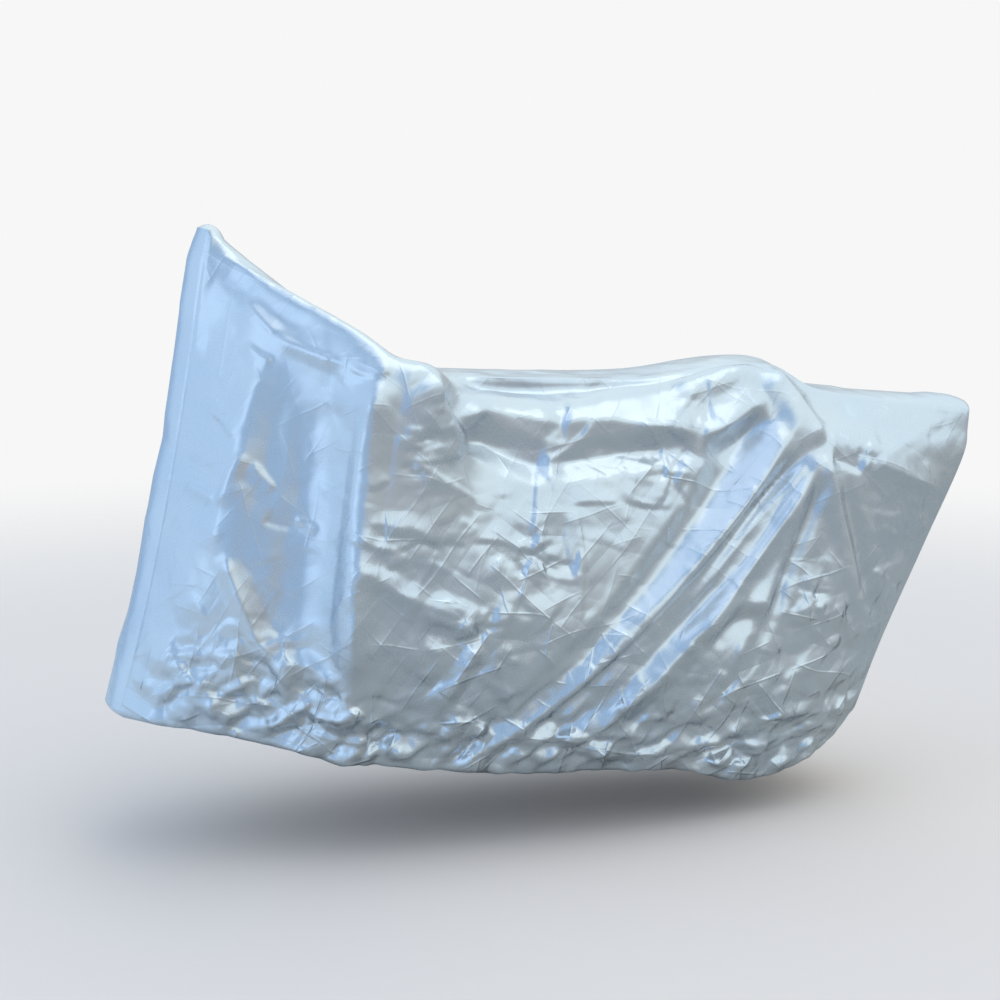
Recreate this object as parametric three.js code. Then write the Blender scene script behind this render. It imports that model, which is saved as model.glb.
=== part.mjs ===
// A fitted motorcycle cover of thin silver-coated cloth, in the shape in which it hangs.
// Two side panels are sewn to a narrow strip that runs up the nose, along the top and down the back.
// Millimetres, +X to the tail, +Z up. The origin is inside the top, over the saddle.
import * as THREE from 'three';

// Driving dimensions. Heights in the tables are above the ground.
const clothThickness = 2;
const seamGap = 0.5; // two sewn pieces stay about this far apart
const saddleHeight = 988.2; // inside of the top over the saddle
const hemRoll = { radius: 15, startAngle: 0.25, endAngle: 2.5, steps: 4 };
const hemSpine = { front: -650, back: 650 }; // the elastic draws the hem towards this line on the ground
const gathers = [
  { length: 170, share: 0.22, start: 0.0 },
  { length: 265, share: 0.16, start: 1.3 },
];
const stepsBetweenRibs = [2, 3, 3, 4, 4, 4, 5, 6, 7, 7, 6, 6, 5]; // finer where the folds lie close
const wallSteps = [6, 6, 7, 3, 2]; // from hem to low, mid, shoulder, the fall and the seam
const stripSteps = 4;
const fallOut = 8; // where a panel falls straight down, it ends this far outside its seam
const fallLean = 0.25; // and has taken this share of its rib's slant
const foldSamples = 12;
const foldCusp = 1.4; // the flanks of a sharp fold hollow out by this power
const foldTaper = 0.22; // share of a fold's length over which it dies out at each end
const foldTrace = 0.15; // a fold keeps a trace of itself at its very ends
const mitreLimit = 0.6; // a seam's edge faces are stretched no further than one over this
const seamFade = [0, 0.3, 0.75]; // folds flatten on the rows next to a seam
const calmColumns = 4; // the hem's gathers die out over these columns next to a seam
const frontCrown = { hem: 23, brow: 27 }; // how far the nose strip stands out between its seams
const peakOut = new THREE.Vector3(-0.95, 0, 0.3); // the stitch line across the peak bulges forward
const peakDome = 4; // and the top strip swells up behind it

const clothLooks = {
  panel: { color: 0xaab6c2, roughness: 0.42, metalness: 0.65 },
  strip: { color: 0xb4c0cb, roughness: 0.4, metalness: 0.65 },
};

function table(columns, values) {
  return values.map((row) => Object.fromEntries(columns.map((name, k) => [name, row[k]])));
}

// Seam along the top, the same on both sides: a row for each rib, from the peak to the tail corner.
// The panels first fall straight down from it by its fall.
const topSeam = table(
  ['x', 'half', 'z', 'crown', 'fall'],
  [
    [-632, 54, 1300, 19, 0], // peak
    [-603, 58, 1273, 12, 0], // behind the peak
    [-526, 62, 1214, 7, 0], // brow
    [-420, 72, 1129, 3, 0], // shield
    [-318, 88, 1057, 3, 0], // before the grip
    [-240, 97, 1014, 5, 0], // grip front
    [-182, 101, 1000, 6, 0], // grip back
    [-74, 105, 988, 6, 40], // lap
    [102, 110, 979, 6, 42], // saddle
    [308, 110, 977, 6, 26], // seat back
    [588, 108, 999, 10, 0], // hump
    [705, 108, 942, 7, 0], // behind the hump
    [877, 104, 910, 14, 0], // carrier
    [1104, 88, 880, 24, 0], // tail corner
  ],
);

const ribColumns = [
  'shoulderX', 'shoulderW', 'shoulderZ', 'midX', 'midW', 'midZ',
  'lowX', 'lowW', 'lowZ', 'hemX', 'hemW', 'hemZ',
];

// The left side, whose grip corner is drawn back. W is the way out from the middle.
const leftRibs = table(ribColumns, [
  [-648, 58, 1235, -708, 62, 894, -784, 78, 547, -850, 86, 296], // front seam
  [-596, 80, 1233, -662, 130, 879, -733, 160, 557, -792, 145, 293], // nose
  [-537, 120, 1203, -600, 190, 864, -662, 215, 523, -685, 190, 279], // brow
  [-448, 190, 1150, -486, 235, 825, -537, 255, 482, -557, 225, 250], // shield
  [-361, 260, 1094, -399, 285, 788, -443, 300, 465, -464, 260, 225], // before the grip
  [-305, 300, 1046, -359, 330, 773, -406, 345, 472, -411, 280, 212], // grip front
  [-232, 310, 1026, -251, 338, 768, -298, 345, 466, -308, 285, 202], // grip back
  [-101, 205, 925, -131, 312, 718, -162, 345, 457, -164, 285, 178], // lap
  [77, 195, 905, 21, 300, 688, -12, 340, 424, -14, 280, 159], // saddle
  [278, 190, 918, 212, 290, 655, 167, 330, 388, 155, 275, 150], // seat back
  [530, 150, 990, 435, 270, 640, 367, 310, 346, 338, 260, 130], // hump
  [674, 220, 828, 610, 250, 583, 533, 280, 304, 506, 230, 83], // knob
  [826, 206, 802, 791, 215, 566, 732, 220, 297, 692, 180, 112], // carrier
  [1089, 104, 792, 995, 95, 567, 893, 95, 346, 838, 90, 186], // tail seam
]);

// The right side, whose grip corner is pushed forward.
const rightRibs = table(ribColumns, [
  [-648, 58, 1235, -708, 62, 894, -784, 78, 547, -850, 86, 296], // front seam
  [-582, 98, 1222, -655, 152, 872, -730, 172, 557, -790, 150, 293], // nose
  [-520, 190, 1146, -585, 232, 850, -655, 236, 520, -685, 198, 283], // brow
  [-448, 292, 1048, -497, 303, 800, -548, 290, 480, -557, 240, 260], // grip front
  [-378, 314, 1022, -420, 327, 780, -452, 322, 468, -464, 268, 240], // grip back
  [-300, 282, 996, -345, 330, 765, -398, 336, 470, -411, 280, 226], // behind the grip
  [-215, 238, 972, -245, 324, 755, -298, 345, 464, -308, 285, 206], // knee
  [-95, 206, 922, -130, 310, 718, -162, 345, 455, -164, 285, 186], // lap
  [80, 194, 906, 21, 300, 688, -12, 340, 424, -14, 280, 170], // saddle
  [282, 186, 918, 212, 290, 655, 167, 330, 388, 155, 275, 160], // seat back
  [530, 154, 970, 435, 270, 640, 367, 310, 346, 338, 260, 146], // hump
  [676, 214, 836, 610, 250, 583, 533, 280, 304, 500, 230, 112], // knob
  [826, 206, 802, 791, 215, 566, 732, 220, 297, 692, 180, 118], // carrier
  [1089, 104, 792, 995, 95, 567, 893, 95, 346, 838, 90, 186], // tail seam
]);

// Main folds as seen from the side: a line through three points, its reach to the left and right of
// that line, its rise or fall, and how sharp it is.
const foldColumns = ['x0', 'z0', 'x1', 'z1', 'x2', 'z2', 'left', 'right', 'rise', 'sharp'];

const leftFolds = table(foldColumns, [
  [-603, 1232, -540, 1150, -430, 1092, 38, 34, -5, 0.2], // hollow under the brow
  [-573, 1161, -505, 1076, -309, 1030, 50, 60, 4, 0.8], // crease under the brow
  [-538, 1053, -612, 845, -668, 620, 60, 40, 9, 0.8], // long soft crease
  [-415, 985, -450, 765, -500, 485, 85, 85, -6, 0], // valley of the shield
  [-330, 1018, -375, 790, -411, 360, 42, 95, 26, 0.9], // ridge hanging from the grip
  [-236, 1018, -200, 950, -150, 850, 26, 66, 15, 1], // back edge of the grip
  [-204, 990, -164, 926, -108, 856, 32, 34, -15, 0.5], // hollow behind the grip
  [-150, 946, 110, 934, 430, 972, 34, 64, 11, 1], // lower edge of the band under the seam
  [-172, 932, -55, 906, 70, 884, 80, 42, 28, 1], // swag, front
  [40, 890, 215, 886, 392, 858, 75, 40, 24, 1], // swag, middle
  [372, 858, 462, 880, 556, 936, 60, 40, 22, 1], // swag, back
  [-140, 905, -45, 842, 40, 820, 45, 50, -20, 0.6], // under the swag, front
  [20, 820, 185, 834, 372, 850, 36, 50, -20, 0.5], // under the swag, middle
  [385, 835, 470, 850, 545, 905, 36, 45, -14, 0.5], // under the swag, back
  [129, 900, 300, 952, 545, 1000, 45, 40, 10, 0.3], // soft ridge up to the hump
  [572, 1000, 630, 915, 676, 832, 40, 60, 18, 1], // from the hump to the knob
  [565, 950, 262, 578, -96, 270, 70, 60, -22, 0.2], // foot of the broad slanted face
  [640, 905, 300, 546, -112, 228, 34, 68, 28, 0.85], // crest of the broad slanted face
  [642, 828, 318, 548, -82, 200, 24, 26, -14, 0.5], // groove behind it
  [662, 804, 355, 462, -10, 170, 50, 38, 24, 0.85], // second crest
  [648, 770, 545, 545, 425, 300, 30, 60, 14, 0.6], // third crest
  [655, 768, 572, 560, 400, 285, 36, 30, -14, 0.6], // groove behind it
  [668, 815, 715, 665, 795, 425, 36, 44, 16, 0.85], // crest below the knob
  [712, 760, 758, 590, 825, 420, 36, 40, -14, 0.4], // trough before the tail
  [684, 836, 748, 842, 830, 828, 48, 46, 9, 0.2], // bulge of the carrier
  [770, 796, 887, 752, 1010, 700, 60, 34, 12, 0.8], // edge of the carrier
  [360, 420, 430, 500, 528, 490, 50, 30, 12, 1], // pocket
  [380, 412, 440, 462, 520, 462, 30, 40, -9, 0.3], // inside of the pocket
  [200, 232, 345, 200, 500, 243, 36, 34, 14, 0.8], // ridge along the back of the hem
  [500, 240, 640, 236, 800, 224, 34, 32, 12, 0.7],
  [-265, 300, -92, 262, 131, 236, 36, 34, 10, 0.6], // ridge along the middle of the hem
  [-640, 655, -607, 560, -560, 455, 34, 32, 8, 0.9], // long crease of the front
  [-575, 480, -540, 425, -488, 370, 32, 32, 9, 0.9],
  [-545, 425, -485, 432, -432, 388, 32, 36, 12, 0.9], // slack corner before the grip ridge
  [-520, 385, -470, 375, -425, 355, 30, 32, -10, 0.4],
  [-790, 470, -705, 368, -610, 290, 44, 44, 7, 0.5], // crease across the nose hem
  [-375, 722, -300, 716, -200, 684, 36, 32, 6, 0.9], // waves behind the grip ridge
  [-395, 650, -290, 575, -135, 508, 32, 34, 11, 0.9],
  [-270, 505, -200, 480, -150, 462, 30, 36, -10, 0.4],
  [-135, 480, -202, 373, -265, 268, 30, 34, 12, 0.8],
]);

const rightFolds = table(foldColumns, [
  [-570, 1130, -520, 1010, -455, 960, 40, 55, 9, 0.7], // crease under the brow
  [-560, 1000, -610, 830, -700, 560, 60, 60, -10, 0], // soft trough of the shield
  [-450, 1010, -500, 760, -560, 340, 45, 65, 22, 0.7], // ridge hanging from the grip
  [-360, 985, -330, 900, -290, 800, 46, 40, -16, 0.5], // hollow behind the grip
  [-290, 965, -40, 900, 230, 935, 75, 42, 24, 0.9], // swag along the saddle
  [-260, 915, -20, 835, 330, 895, 42, 52, -22, 0.5], // under the swag
  [560, 940, 300, 590, -110, 230, 58, 52, -15, 0.2], // foot of the broad slanted face
  [625, 900, 370, 540, -60, 215, 34, 46, 20, 0.85], // crest of the broad slanted face
  [640, 826, 400, 520, 20, 205, 26, 28, -12, 0.5], // groove behind it
  [655, 798, 440, 478, 110, 195, 44, 38, 18, 0.85], // second crest
  [660, 790, 580, 540, 430, 260, 40, 40, -14, 0.5], // second groove
  [690, 790, 665, 560, 600, 280, 40, 50, 15, 0.8], // crest below the knob
  [735, 745, 800, 560, 850, 390, 46, 46, -14, 0.4], // trough before the tail
  [690, 828, 780, 822, 900, 795, 42, 42, 12, 0.2], // bulge of the carrier
  [-420, 300, -160, 275, 130, 240, 40, 40, 13, 0.7], // ridge along the hem, front
  [150, 240, 470, 250, 780, 260, 40, 40, 14, 0.7], // ridge along the hem, back
  [-780, 480, -690, 390, -560, 330, 46, 46, 10, 0.6], // crease over the front hem
  [-300, 640, -150, 670, 20, 620, 40, 40, 10, 0.7], // wave across the middle
  [590, 992, 655, 920, 678, 838, 40, 44, 12, 0.6], // from the hump to the knob
  [-640, 600, -610, 500, -540, 400, 34, 34, 9, 0.9], // long crease of the front
]);

function smooth(t) {
  const s = THREE.MathUtils.clamp(t, 0, 1);
  return s * s * (3 - 2 * s);
}

function curveThrough(points) {
  return new THREE.CatmullRomCurve3(points, false, 'centripetal');
}

function unit(vector) {
  return vector.clone().normalize();
}

// The folds, with their lines sampled once as short straight runs.
function foldLines(folds) {
  return folds.map((fold) => {
    const from = new THREE.Vector2(fold.x0, fold.z0);
    const through = new THREE.Vector2(fold.x1, fold.z1);
    const to = new THREE.Vector2(fold.x2, fold.z2);
    const pull = through.clone().multiplyScalar(2).addScaledVector(from, -0.5).addScaledVector(to, -0.5);
    const line = new THREE.QuadraticBezierCurve(from, pull, to).getPoints(foldSamples);
    return { ...fold, line };
  });
}

// How far all folds together lift the cloth at a place on the side. A sharp fold has flat flanks
// that meet in a crest, a soft one is round.
function liftAt(folds, x, z) {
  const place = new THREE.Vector2(x, z);
  let lift = 0;
  for (const { line, left, right, rise, sharp } of folds) {
    let nearest = Infinity;
    let along = 0;
    let reach = left;
    for (let k = 0; k < foldSamples; k += 1) {
      const run = line[k + 1].clone().sub(line[k]);
      const away = place.clone().sub(line[k]);
      const share = THREE.MathUtils.clamp(away.dot(run) / run.lengthSq(), 0, 1);
      const distance = line[k].clone().addScaledVector(run, share).distanceTo(place);
      if (distance < nearest) {
        nearest = distance;
        along = (k + share) / foldSamples;
        reach = run.cross(away) > 0 ? left : right;
      }
    }
    if (nearest < reach) {
      const crest = (1 - nearest / reach) ** foldCusp;
      const bulge = (1 - (nearest / reach) ** 2) ** 2;
      const ends = smooth(Math.min(along, 1 - along) / foldTaper + foldTrace);
      lift += rise * ends * THREE.MathUtils.lerp(bulge, crest, sharp);
    }
  }
  return lift;
}

// How far the gathers push the rolled hem in or out, some way along it.
function gatherSwell(way) {
  let swell = 0;
  for (const gather of gathers) {
    swell += gather.share * Math.sin((2 * Math.PI * way) / gather.length + gather.start);
  }
  return swell;
}

// The hem turns in under the skirt on an arc. Its points run from the free edge up to the wall.
function hemArc(start, swell = 0) {
  const inward = new THREE.Vector3(THREE.MathUtils.clamp(start.x, hemSpine.front, hemSpine.back), 0, 0);
  inward.sub(new THREE.Vector3(start.x, start.y, 0)).normalize();
  const { radius, startAngle, endAngle, steps } = hemRoll;
  const points = [];
  for (let k = steps; k > 0; k -= 1) {
    const angle = startAngle + ((endAngle - startAngle) * k) / steps;
    const reach = radius * (1 + (swell * k) / steps);
    const point = start.clone();
    point.addScaledVector(inward, reach * (Math.cos(startAngle) - Math.cos(angle)));
    point.z -= radius * (Math.sin(angle) - Math.sin(startAngle));
    points.push(point);
  }
  return points;
}

// Each column's place among the ribs, as a rib's number and a share of the way to the next.
const columnRibs = [0];
stepsBetweenRibs.forEach((steps, rib) => {
  columnRibs.push(...range(steps).map((n) => rib + (n + 1) / steps));
});

// Points of one side panel: columns from the front seam to the tail seam, rows from the hem to the top.
function panelPoints(ribs, side, folds) {
  const walls = ribs.map((rib, k) => {
    const top = topSeam[k];
    const hemRise = hemRoll.radius * (1 - Math.sin(hemRoll.startAngle));
    const shoulder = new THREE.Vector3(rib.shoulderX, side * rib.shoulderW, rib.shoulderZ);
    const seam = new THREE.Vector3(top.x, side * top.half, top.z);
    const under = seam.clone().lerp(shoulder, 0.5);
    if (top.fall > 0) {
      const underX = THREE.MathUtils.lerp(top.x, rib.shoulderX, fallLean);
      under.set(underX, side * (top.half + fallOut), top.z - top.fall);
    }
    const stops = [
      new THREE.Vector3(rib.hemX, side * rib.hemW, rib.hemZ + hemRise),
      new THREE.Vector3(rib.lowX, side * rib.lowW, rib.lowZ),
      new THREE.Vector3(rib.midX, side * rib.midW, rib.midZ),
      shoulder,
      under,
      seam,
    ];
    const curve = curveThrough(stops);
    const points = [];
    wallSteps.forEach((steps, span) => {
      for (let n = 0; n < steps; n += 1) {
        points.push(curve.getPoint((span + n / steps) / wallSteps.length));
      }
    });
    points.push(stops.at(-1));
    return points;
  });
  const columns = columnRibs.length - 1;
  const rows = walls[0].length;
  const levels = range(rows).map((row) => curveThrough(walls.map((wall) => wall[row])));
  const smoothWall = columnRibs.map((rib) => levels.map((level) => level.getPoint(rib / (ribs.length - 1))));
  const lines = foldLines(folds);
  const normals = gridNormals(smoothWall, side);
  let way = 0;
  return smoothWall.map((wall, column) => {
    const folded = wall.map((point, row) => {
      const beside = Math.min(column, columns - column, rows - 1 - row);
      const keep = seamFade[beside] ?? 1;
      return point.clone().addScaledVector(normals[column][row], keep * liftAt(lines, point.x, point.z));
    });
    if (column > 0) {
      way += wall[0].distanceTo(smoothWall[column - 1][0]);
    }
    const loose = smooth(Math.min(column, columns - column) / calmColumns);
    return [...hemArc(folded[0], loose * gatherSwell(way)), ...folded];
  });
}

// Unit normals of a grid of points, turned out by the sign of its side.
function gridNormals(grid, side) {
  const lastColumn = grid.length - 1;
  const lastRow = grid[0].length - 1;
  return grid.map((points, column) => points.map((point, row) => {
    const after = grid[Math.min(column + 1, lastColumn)][row];
    const before = grid[Math.max(column - 1, 0)][row];
    const above = grid[column][Math.min(row + 1, lastRow)];
    const below = grid[column][Math.max(row - 1, 0)];
    const normal = after.clone().sub(before).cross(above.clone().sub(below));
    return normal.multiplyScalar(-side).normalize();
  }));
}

// Points of a strip between two seams, with a crown that stands out from the line between them.
// Towards the peak the crown leans to the peak's own direction, by a share for each station.
function stripPoints(leftGrid, rightGrid, places, crowns, leans) {
  const leftSeam = pick(leftGrid, places);
  const rightSeam = pick(rightGrid, places);
  const last = leftSeam.length - 1;
  return leftSeam.map((left, station) => {
    const right = rightSeam[station];
    const along = leftSeam[Math.min(station + 1, last)].clone().sub(leftSeam[Math.max(station - 1, 0)]);
    const out = unit(along.cross(right.clone().sub(left))).lerp(peakOut, leans[station]).normalize();
    const points = [];
    for (let n = 0; n <= stripSteps; n += 1) {
      const share = n / stripSteps;
      const rise = crowns[station] * 4 * share * (1 - share);
      points.push(left.clone().lerp(right, share).addScaledVector(out, rise));
    }
    return points;
  });
}

// A closed sheet around a grid of points. Border points lie back from their seam by half the gap,
// and their edge faces lie along the seam's own direction, which both pieces share.
function sheetGeometry(grid, normals, borders) {
  const columns = grid.length;
  const rows = grid[0].length;
  const points = grid.map((line) => line.map((point) => point.clone()));
  const ways = normals.map((line) => line.map((normal) => normal.clone()));
  for (const { places, inner, seam } of borders) {
    places.forEach(([column, row], n) => {
      const [before, after] = [places[Math.max(n - 1, 0)], places[Math.min(n + 1, places.length - 1)]];
      const run = grid[after[0]][after[1]].clone().sub(grid[before[0]][before[1]]);
      const back = unit(run.cross(seam[n]));
      const [innerColumn, innerRow] = inner[n];
      const facing = Math.sign(back.dot(grid[innerColumn][innerRow].clone().sub(grid[column][row])));
      points[column][row].addScaledVector(back, (facing * seamGap) / 2);
      const stretch = 1 / Math.max(mitreLimit, seam[n].dot(normals[column][row]));
      ways[column][row].copy(seam[n]).multiplyScalar(stretch);
    });
  }
  const positions = [];
  const layers = [clothThickness / 2, -clothThickness / 2];
  for (const offset of layers) {
    points.forEach((line, column) => line.forEach((point, row) => {
      positions.push(...point.clone().addScaledVector(ways[column][row], offset).toArray());
    }));
  }
  const outer = (column, row) => column * rows + row;
  const innerFace = (column, row) => columns * rows + column * rows + row;
  const faces = [];
  const quad = (a, b, c, d) => faces.push(a, b, c, a, c, d);
  for (let column = 0; column < columns - 1; column += 1) {
    for (let row = 0; row < rows - 1; row += 1) {
      const corners = [[column, row], [column + 1, row], [column + 1, row + 1], [column, row + 1]];
      quad(...corners.map((place) => outer(...place)));
      const [a, b, c, d] = corners.map((place) => innerFace(...place));
      quad(a, d, c, b); // split along the same diagonal as the outer face
    }
  }
  const rim = [];
  for (let column = 0; column < columns - 1; column += 1) {
    rim.push([column, 0]);
  }
  for (let row = 0; row < rows - 1; row += 1) {
    rim.push([columns - 1, row]);
  }
  for (let column = columns - 1; column > 0; column -= 1) {
    rim.push([column, rows - 1]);
  }
  for (let row = rows - 1; row > 0; row -= 1) {
    rim.push([0, row]);
  }
  // Both pieces at a seam split its edge faces along the same diagonal.
  const order = ([column, row]) => grid[column][row].x + grid[column][row].y / 3;
  rim.forEach((place, n) => {
    const next = rim[(n + 1) % rim.length];
    if (order(place) < order(next)) {
      quad(outer(...next), outer(...place), innerFace(...place), innerFace(...next));
    } else {
      quad(outer(...place), innerFace(...place), innerFace(...next), outer(...next));
    }
  });
  const geometry = new THREE.BufferGeometry();
  geometry.setAttribute('position', new THREE.Float32BufferAttribute(positions, 3));
  geometry.setIndex(faces);
  geometry.computeVertexNormals();
  return geometry;
}

function flipFaces(geometry) {
  const index = geometry.getIndex();
  for (let n = 0; n < index.count; n += 3) {
    const first = index.getX(n);
    index.setX(n, index.getX(n + 1));
    index.setX(n + 1, first);
  }
  geometry.computeVertexNormals();
  return geometry;
}

function range(count) {
  return Array.from({ length: count }, (_, n) => n);
}

function pick(grid, places) {
  return places.map(([column, row]) => grid[column][row]);
}

const left = panelPoints(leftRibs, -1, leftFolds);
const right = panelPoints(rightRibs, 1, rightFolds);
const lastColumn = left.length - 1;
const lastRow = left[0].length - 1;
const wallRows = lastRow - hemRoll.steps;

// Seams, each as the places that it takes in a panel's grid.
const frontPlaces = range(lastRow + 1).map((row) => [0, row]);
const topPlaces = range(lastColumn + 1).map((column) => [column, lastRow]);
const tailPlaces = range(lastRow + 1).map((row) => [lastColumn, row]);
const spinePlaces = [...topPlaces, ...tailPlaces.slice(0, -1).reverse()];

// Crowns of the strips along their stations.
const browSteps = wallSteps.at(-2) + wallSteps.at(-1);
const browRow = wallRows - browSteps;
const frontCrowns = range(wallRows + 1).map((n) => {
  if (n < browRow) {
    return THREE.MathUtils.lerp(frontCrown.hem, frontCrown.brow, n / browRow);
  }
  return THREE.MathUtils.lerp(frontCrown.brow, topSeam[0].crown, (n - browRow) / browSteps);
});
const spineCrowns = spinePlaces.map((_, n) => {
  const rib = columnRibs[Math.min(n, lastColumn)];
  const before = topSeam[Math.floor(rib)];
  const after = topSeam[Math.ceil(rib)];
  const dome = rib < 1 ? peakDome * 4 * rib * (1 - rib) : 0;
  return THREE.MathUtils.lerp(before.crown, after.crown, rib % 1) + dome;
});

// At the peak both strips end on one line.
const noseSeam = frontPlaces.slice(hemRoll.steps);
const spineSeam = spinePlaces.slice(0, -hemRoll.steps);
const frontLeans = noseSeam.map((_, n) => (n === wallRows ? 1 : 0));
const spineLeans = spineSeam.map((_, n) => Math.max(0, 1 - columnRibs[Math.min(n, lastColumn)]) ** 2);
const frontWall = stripPoints(left, right, noseSeam, frontCrowns, frontLeans);
const spineWall = stripPoints(left, right, spineSeam, spineCrowns, spineLeans);
const hemOf = (points) => {
  const arcs = points.map((point) => hemArc(point));
  return range(hemRoll.steps).map((k) => arcs.map((arc) => arc[k]));
};
const front = [...hemOf(frontWall[0]), ...frontWall];
const spine = [...spineWall, ...hemOf(spineWall.at(-1)).reverse()];

const leftNormals = gridNormals(left, -1);
const rightNormals = gridNormals(right, 1);
const frontNormals = gridNormals(front, -1);
const spineNormals = gridNormals(spine, -1);

// One direction for each point of a seam: the mean of the normals of the pieces that meet there.
function seamDirections(panelNormals, places, stripNormals, edge) {
  return places.map(([column, row], station) => {
    const mean = panelNormals[column][row].clone().add(stripNormals[station][edge]);
    return mean.normalize();
  });
}

// The directions turn evenly along a seam, with its two ends kept.
function evened(directions) {
  return directions.map((direction, n) => {
    if (n === 0 || n === directions.length - 1) {
      return direction;
    }
    return unit(directions[n - 1].clone().add(directions[n + 1]).addScaledVector(direction, 2));
  });
}

const seams = {};
for (const [side, normals, edge] of [['left', leftNormals, 0], ['right', rightNormals, stripSteps]]) {
  seams[side] = {
    front: seamDirections(normals, frontPlaces, frontNormals, edge),
    spine: seamDirections(normals, spinePlaces, spineNormals, edge),
  };
  const corner = unit(seams[side].front[lastRow].clone().add(seams[side].spine[0]));
  seams[side].front[lastRow] = corner;
  seams[side].spine[0] = corner;
  seams[side].front = evened(seams[side].front);
  seams[side].spine = evened(seams[side].spine);
}
const peakSeam = range(stripSteps + 1).map((edge) => {
  return unit(frontNormals[lastRow][edge].clone().add(spineNormals[0][edge]));
});
peakSeam[0] = seams.left.front[lastRow];
peakSeam[stripSteps] = seams.right.front[lastRow];

function panelBorders(seam) {
  const inside = (places, column, row) => places.map(([c, r]) => [c + column, r + row]);
  const tail = [...seam.spine.slice(lastColumn)].reverse();
  return [
    { places: frontPlaces, inner: inside(frontPlaces, 1, 0), seam: seam.front },
    { places: topPlaces, inner: inside(topPlaces, 0, -1), seam: seam.spine.slice(0, lastColumn + 1) },
    { places: tailPlaces, inner: inside(tailPlaces, -1, 0), seam: tail },
  ];
}

function stripBorders(stations, leftSeam, rightSeam, peakStation, peakStep) {
  const along = (edge) => range(stations).map((station) => [station, edge]);
  const across = (station) => range(stripSteps + 1).map((edge) => [station, edge]);
  return [
    { places: along(0), inner: along(1), seam: leftSeam },
    { places: along(stripSteps), inner: along(stripSteps - 1), seam: rightSeam },
    { places: across(peakStation), inner: across(peakStation + peakStep), seam: peakSeam },
  ];
}

function piece(name, geometry, looks) {
  const mesh = new THREE.Mesh(geometry, new THREE.MeshStandardMaterial(looks));
  mesh.name = name;
  return mesh;
}

const leftSheet = sheetGeometry(left, leftNormals, panelBorders(seams.left));
const rightSheet = flipFaces(sheetGeometry(right, rightNormals, panelBorders(seams.right)));
const frontBorders = stripBorders(front.length, seams.left.front, seams.right.front, lastRow, -1);
const spineBorders = stripBorders(spine.length, seams.left.spine, seams.right.spine, 0, 1);
const frontSheet = sheetGeometry(front, frontNormals, frontBorders);
const spineSheet = sheetGeometry(spine, spineNormals, spineBorders);

const cover = new THREE.Group();
cover.add(piece('side_panel_left', leftSheet, clothLooks.panel));
cover.add(piece('side_panel_right', rightSheet, clothLooks.panel));
cover.add(piece('front_strip', frontSheet, clothLooks.strip));
cover.add(piece('top_strip', spineSheet, clothLooks.strip));
cover.position.z = -saddleHeight;

export default cover;
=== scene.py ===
# Motorcycle cover of thin silver cloth, as it hangs: its pieces, light and camera.
# Tables are in millimetres, with heights above the ground. The scene is in metres, in the solids' frame.
import bpy
import numpy as np
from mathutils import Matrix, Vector


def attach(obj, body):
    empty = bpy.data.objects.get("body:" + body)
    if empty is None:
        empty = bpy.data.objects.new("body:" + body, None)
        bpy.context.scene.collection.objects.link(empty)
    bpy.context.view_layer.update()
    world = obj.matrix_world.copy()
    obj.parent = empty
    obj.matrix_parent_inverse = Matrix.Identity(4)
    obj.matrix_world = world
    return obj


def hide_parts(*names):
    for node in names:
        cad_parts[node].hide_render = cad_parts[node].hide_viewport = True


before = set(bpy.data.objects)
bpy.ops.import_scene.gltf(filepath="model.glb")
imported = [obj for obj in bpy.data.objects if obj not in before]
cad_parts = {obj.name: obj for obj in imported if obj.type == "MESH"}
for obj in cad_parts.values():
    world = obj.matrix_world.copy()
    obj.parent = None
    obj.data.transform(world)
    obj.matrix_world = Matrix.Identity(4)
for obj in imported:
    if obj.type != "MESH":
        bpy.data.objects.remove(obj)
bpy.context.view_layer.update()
print("frame loaded:", ", ".join(sorted(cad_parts)))

cloth = {
    "saddleHeight": 988.2,  # the frame's origin above the ground
    "columns": 385,         # mesh points from nose to tail
    "rows": 195,            # mesh points from hem to top
    "outer": 0.5,           # the two faces lie this far out and in from the middle of the cloth
    "inner": 3.5,
    "innerStep": 2,         # the inside takes every second point
    "fallLean": 0.25,       # where a panel falls straight down from its seam, its share of the rib's slant
    "fallOut": 8,           # and how far outside the seam it ends
    "seamCalm": 45,         # folds die out this close to a seam
    "seamDip": 2.4,         # the stitches pull both edges in by this much
    "seamDipReach": 8,
    "foldTaper": 0.22,      # share of a fold's length over which it dies out at each end
    "foldTrace": 0.15,
    "crestRadius": 2.5,     # a crease is no sharper than this
    "cuspPower": 1.4,       # how hollow the flanks of a sharp fold are
    "lineSteps": 12,        # straight steps along the line of a fold
    "steepSide": 0.7,       # sides of a thin crease, in its reach
    "flatSide": 2.4,
    "facets": [(120, 0.10), (55, 0.06)],    # size and slope of the crumpled facets
    "crumpled": 0.2,        # how crumpled the cloth is outside the areas in the tables
    "crumpledLeast": 0.04,
    "crumpledMost": 1.3,
    "sharpAngle": 1.2,      # edges sharper than this aren't shaded smooth
}

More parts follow.
